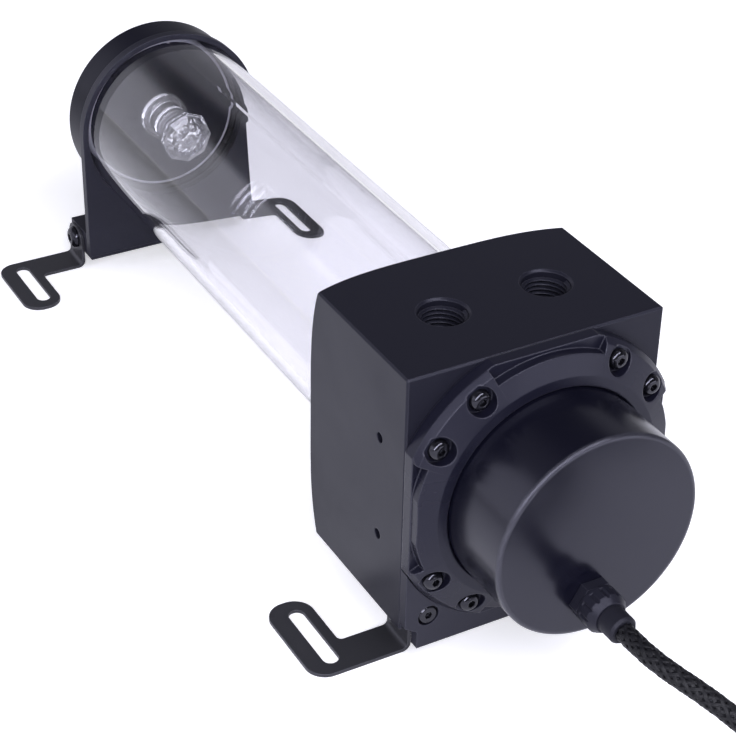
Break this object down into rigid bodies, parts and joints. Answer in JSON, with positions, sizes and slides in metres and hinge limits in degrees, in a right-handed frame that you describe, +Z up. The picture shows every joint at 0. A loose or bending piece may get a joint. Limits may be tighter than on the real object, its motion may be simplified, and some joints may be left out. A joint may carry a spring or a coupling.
{
  "type": "coolant pump reservoir",
  "caption": "Liquid-cooling circulation pump with a clear tube reservoir lying behind it, two threaded ports on its block, a braided lead, and brackets with slotted feet.",
  "frame": {"origin": "on the floor under the middle of the object's box, lead left out", "axes": "+X to the right seen from the motor end, +Y back along the tube from the motor to the end cap, +Z up from the feet"},
  "size_m": [0.1531, 0.4267, 0.0927],
  "materials": {
    "block": "satin black acetal, finely machined",
    "clamp_ring": "satin black acetal, machined",
    "screws": "black oxide steel",
    "cover": "black anodised, fine bead-blasted",
    "can": "moulded black plastic",
    "ceramic": "polished ceramic",
    "magnet": "ferrite magnet, plastic bonded",
    "winding": "varnished copper wire",
    "board": "green solder mask",
    "seals": "soft black rubber",
    "gland": "black nylon",
    "gland_sleeve": "black heat-shrink sleeve",
    "tube": "clear polished acrylic",
    "end_cap": "satin black acetal, turned",
    "light_guide": "clear polished acrylic",
    "brackets": "satin black powder coat",
    "feet": "satin black powder coat",
    "braid": "black braided sleeve",
    "tie": "black nylon",
    "plug": "black nylon",
    "pins": "tinned brass"
  },
  "bodies": {
    "pump": {"pump_block": "block", "clamp_ring": "clamp_ring", "clamp_ring_screws": "screws", "motor_cover": "cover", "separation_can": "can", "bearing_ball": "ceramic", "stator_coil": "winding", "circuit_board": "board", "tube_seal_front": "seals", "tube_seal_rear": "seals", "pump_seal": "seals", "guide_seal": "seals", "cable_gland": "gland", "gland_nut": "gland", "gland_sleeve": "gland_sleeve", "reservoir_tube": "tube", "end_cap": "end_cap", "light_guide": "light_guide", "guide_nut": "screws", "bracket_front": "brackets", "bracket_rear": "brackets", "bracket_screws": "screws", "foot_front_left": "feet", "foot_front_right": "feet", "foot_rear_left": "feet", "foot_rear_right": "feet", "foot_screws": "screws", "pump_cable": "braid", "cable_coil": "braid", "cable_tail": "braid", "coil_tie": "tie", "power_plug": "plug", "plug_pins": "pins"},
    "rotor": {"rotor_magnet": "magnet", "impeller": "can"}
  },
  "joints": [
    {"name": "rotor_spin", "type": "hinge", "parent": "pump", "child": "rotor", "pos_m": [0, -0.09245, 0.0534], "axis": [0, 1, 0], "continuous": true}
  ]
}
